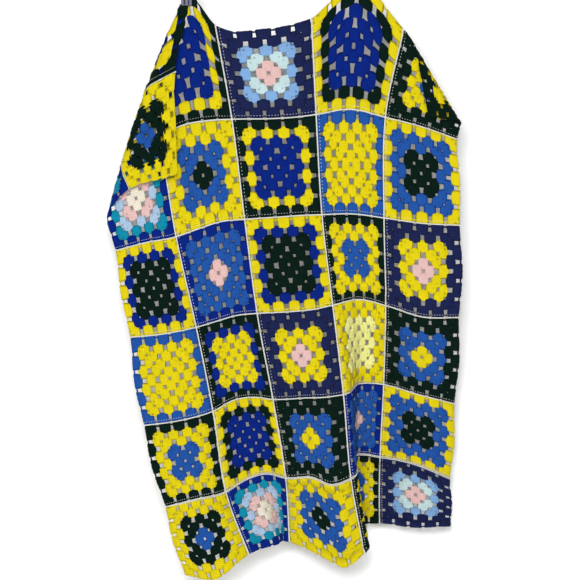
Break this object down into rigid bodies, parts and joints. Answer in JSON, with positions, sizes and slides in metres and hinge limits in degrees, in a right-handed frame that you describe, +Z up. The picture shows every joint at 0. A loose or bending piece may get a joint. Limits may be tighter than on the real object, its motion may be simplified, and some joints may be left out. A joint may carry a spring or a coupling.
{
  "type": "granny square blanket hung from two clips",
  "caption": "Crocheted blanket of granny squares in bright and dark yarns with white joins, hung in soft folds from two metal clips.",
  "frame": {"origin": "middle of the left clip's flat top face", "axes": "+Z up, +X to the viewer's right along the hung top edge, -Y is the side of the cloth that faces the viewer"},
  "size_m": [0.5351, 0.1324, 0.9211],
  "materials": {
    "yarn_lemon": "matt acrylic yarn, crocheted",
    "yarn_dark_green": "matt acrylic yarn, crocheted",
    "yarn_royal": "matt acrylic yarn, crocheted",
    "yarn_mid_blue": "matt acrylic yarn, crocheted",
    "yarn_navy": "matt acrylic yarn, crocheted",
    "yarn_white": "matt acrylic yarn, crocheted",
    "clip_steel": "bright nickel-plated sheet steel"
  },
  "bodies": {
    "root": {"square_A0": "yarn_lemon", "square_A1": "yarn_dark_green", "square_A2": "yarn_navy", "square_A3": "yarn_lemon", "square_A4": "yarn_dark_green", "square_B0": "yarn_royal", "square_B1": "yarn_lemon", "square_B2": "yarn_dark_green", "square_B3": "yarn_mid_blue", "square_B4": "yarn_lemon", "square_C0": "yarn_lemon", "square_C1": "yarn_royal", "square_C2": "yarn_lemon", "square_C3": "yarn_dark_green", "square_C4": "yarn_navy", "square_D0": "yarn_mid_blue", "square_D1": "yarn_dark_green", "square_D2": "yarn_navy", "square_D3": "yarn_lemon", "square_D4": "yarn_dark_green", "square_E0": "yarn_dark_green", "square_E1": "yarn_lemon", "square_E2": "yarn_dark_green", "square_E3": "yarn_royal", "square_E4": "yarn_lemon", "square_F0": "yarn_lemon", "square_F1": "yarn_royal", "square_F2": "yarn_lemon", "square_F3": "yarn_dark_green", "square_F4": "yarn_navy", "joining_seams": "yarn_white", "clip_left": "clip_steel", "clip_right": "clip_steel"}
  },
  "joints": []
}
